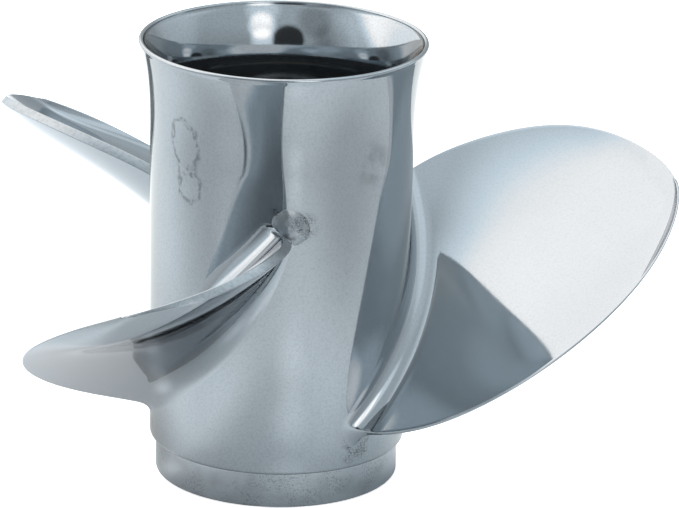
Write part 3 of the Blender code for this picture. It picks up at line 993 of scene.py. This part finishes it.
def make_camera():
    """The photo's camera, from the values at the top."""
    forward = Vector((math.sin(CAMERA_YAW) * math.cos(CAMERA_PITCH),
                      math.cos(CAMERA_YAW) * math.cos(CAMERA_PITCH), -math.sin(CAMERA_PITCH)))
    right = Vector((math.cos(CAMERA_YAW), -math.sin(CAMERA_YAW), 0))
    up = right.cross(forward)
    turned_right = math.cos(CAMERA_ROLL) * right + math.sin(CAMERA_ROLL) * up
    turned_up = math.cos(CAMERA_ROLL) * up - math.sin(CAMERA_ROLL) * right
    camera = bpy.data.cameras.new("camera")
    camera.sensor_width = SENSOR_WIDTH
    camera.lens = FOCAL_PIXELS / FRAME_WIDTH * SENSOR_WIDTH
    camera.clip_end = CAMERA_SIGHT
    obj = add_object("camera", camera)
    placing = Matrix((turned_right, turned_up, -forward)).transposed().to_4x4()
    placing.translation = (0, -CAMERA_DISTANCE, CAMERA_HEIGHT + FOOT)
    obj.matrix_world = placing
    bpy.context.scene.camera = obj


def make_softbox():
    """A square area light that faces its target."""
    light = bpy.data.lights.new("softbox", "AREA")
    light.shape = "RECTANGLE"
    light.size = SOFTBOX_SIZE
    light.size_y = SOFTBOX_SIZE
    light.energy = SOFTBOX_POWER
    light.color = COOL_LIGHT
    obj = add_object("softbox", light)
    obj.location = SOFTBOX_PLACE
    obj.rotation_mode = "QUATERNION"
    obj.rotation_quaternion = (Vector(SOFTBOX_TARGET) - Vector(SOFTBOX_PLACE)).to_track_quat("-Z", "Y")
    obj.visible_glossy = False


def make_floor():
    """Pale sweep with painted light and shade: its colour is lighter behind the object, where the light
    comes from, than in front of it, with painted pools.
    """
    mesh = bpy.data.meshes.new("floor")
    level = FOOT - FLOOR_CLEARANCE
    half = FLOOR_SIZE / 2
    mesh.from_pydata([(-half, -half, level), (half, -half, level), (half, half, level),
                      (-half, half, level)], [], [(0, 1, 2, 3)])
    material = bpy.data.materials.new("floor")
    material.use_nodes = True
    tree = material.node_tree
    field = Masks(tree, "Object")
    # Painted light and shade: the floor's colour runs from dark in front to light behind
    behind = field.measure("DOT_PRODUCT", (0, 1, 0))
    shade = field.between(behind, FLOOR_FRONT, FLOOR_BACK, FLOOR_LIGHT - FLOOR_DARK)
    # Painted pools of light, and one of shade, added to the floor's colour
    for x, y, radius, amount in FLOOR_PAINTED_POOLS:
        painted_pool = field.between(field.measure("DISTANCE", (x, y, level)), radius, 0, amount)
        shade = field.math("ADD", shade, painted_pool)
    shade = field.math("MINIMUM", field.math("ADD", shade, FLOOR_DARK), FLOOR_TOP)
    glow = field.math("MULTIPLY", field.camera_ray(), FLOOR_GLOW)
    # Painted glints: glowing spots on the floor that show as highlights in the metal
    for x, y, radius, amount in FLOOR_PAINTED_GLINTS:
        painted_glint = field.between(field.measure("DISTANCE", (x, y, level)), radius, 0, amount)
        glow = field.math("ADD", glow, painted_glint)
    shader = tree.nodes["Principled BSDF"]
    shader.inputs["Roughness"].default_value = FLOOR_ROUGHNESS
    shader.inputs["Emission Color"].default_value = (1, 1, 1, 1)
    tree.links.new(field.scaled(FLOOR_TINT, shade), shader.inputs["Base Color"])
    tree.links.new(glow, shader.inputs["Emission Strength"])
    mesh.materials.append(material)
    add_object("floor", mesh)


def make_world():
    """The studio as the metal sees it. The camera itself sees white paper all round."""
    world = bpy.data.worlds.new("studio")
    bpy.context.scene.world = world
    world.use_nodes = True
    tree = world.node_tree
    field = Masks(tree, "Generated")

    def spot(azimuth, elevation, full, outer, amount):
        """Brightness round a direction: azimuth 0 is towards the camera, 90 to its right."""
        turn = math.radians(azimuth)
        lift = math.radians(elevation)
        towards = (math.sin(turn) * math.cos(lift), -math.cos(turn) * math.cos(lift), math.sin(lift))
        low = math.cos(math.radians(outer))
        high = math.cos(math.radians(full))
        return field.between(field.measure("DOT_PRODUCT", towards), low, high, amount)

    upwards = field.measure("DOT_PRODUCT", (0, 0, 1))
    room = field.between(upwards, ROOM_LOW_TO, ROOM_HIGH_FROM, ROOM_HIGH - ROOM_LOW)
    total = field.math("ADD", room, ROOM_LOW)
    total = field.math("ADD", total, field.math("MAXIMUM", spot(*WALL), spot(*CEILING)))
    for place in STUDIO_SPOTS:
        total = field.math("ADD", total, spot(*place))
    total = field.math("MAXIMUM", total, DARKEST)
    warmth = field.between(total, WARM_FROM, WARM_TO)
    light = field.mix(warmth, COOL_LIGHT, WARM_LIGHT)
    light = field.scaled(light, field.math("MULTIPLY", total, LIGHT_LEVEL))
    seen = field.mix(field.camera_ray(), light, (1.0, 1.0, 1.0))
    tree.links.new(seen, tree.nodes["Background"].inputs["Color"])


make_camera()
make_floor()
make_world()
make_softbox()
bpy.context.scene.view_settings.view_transform = "Standard"
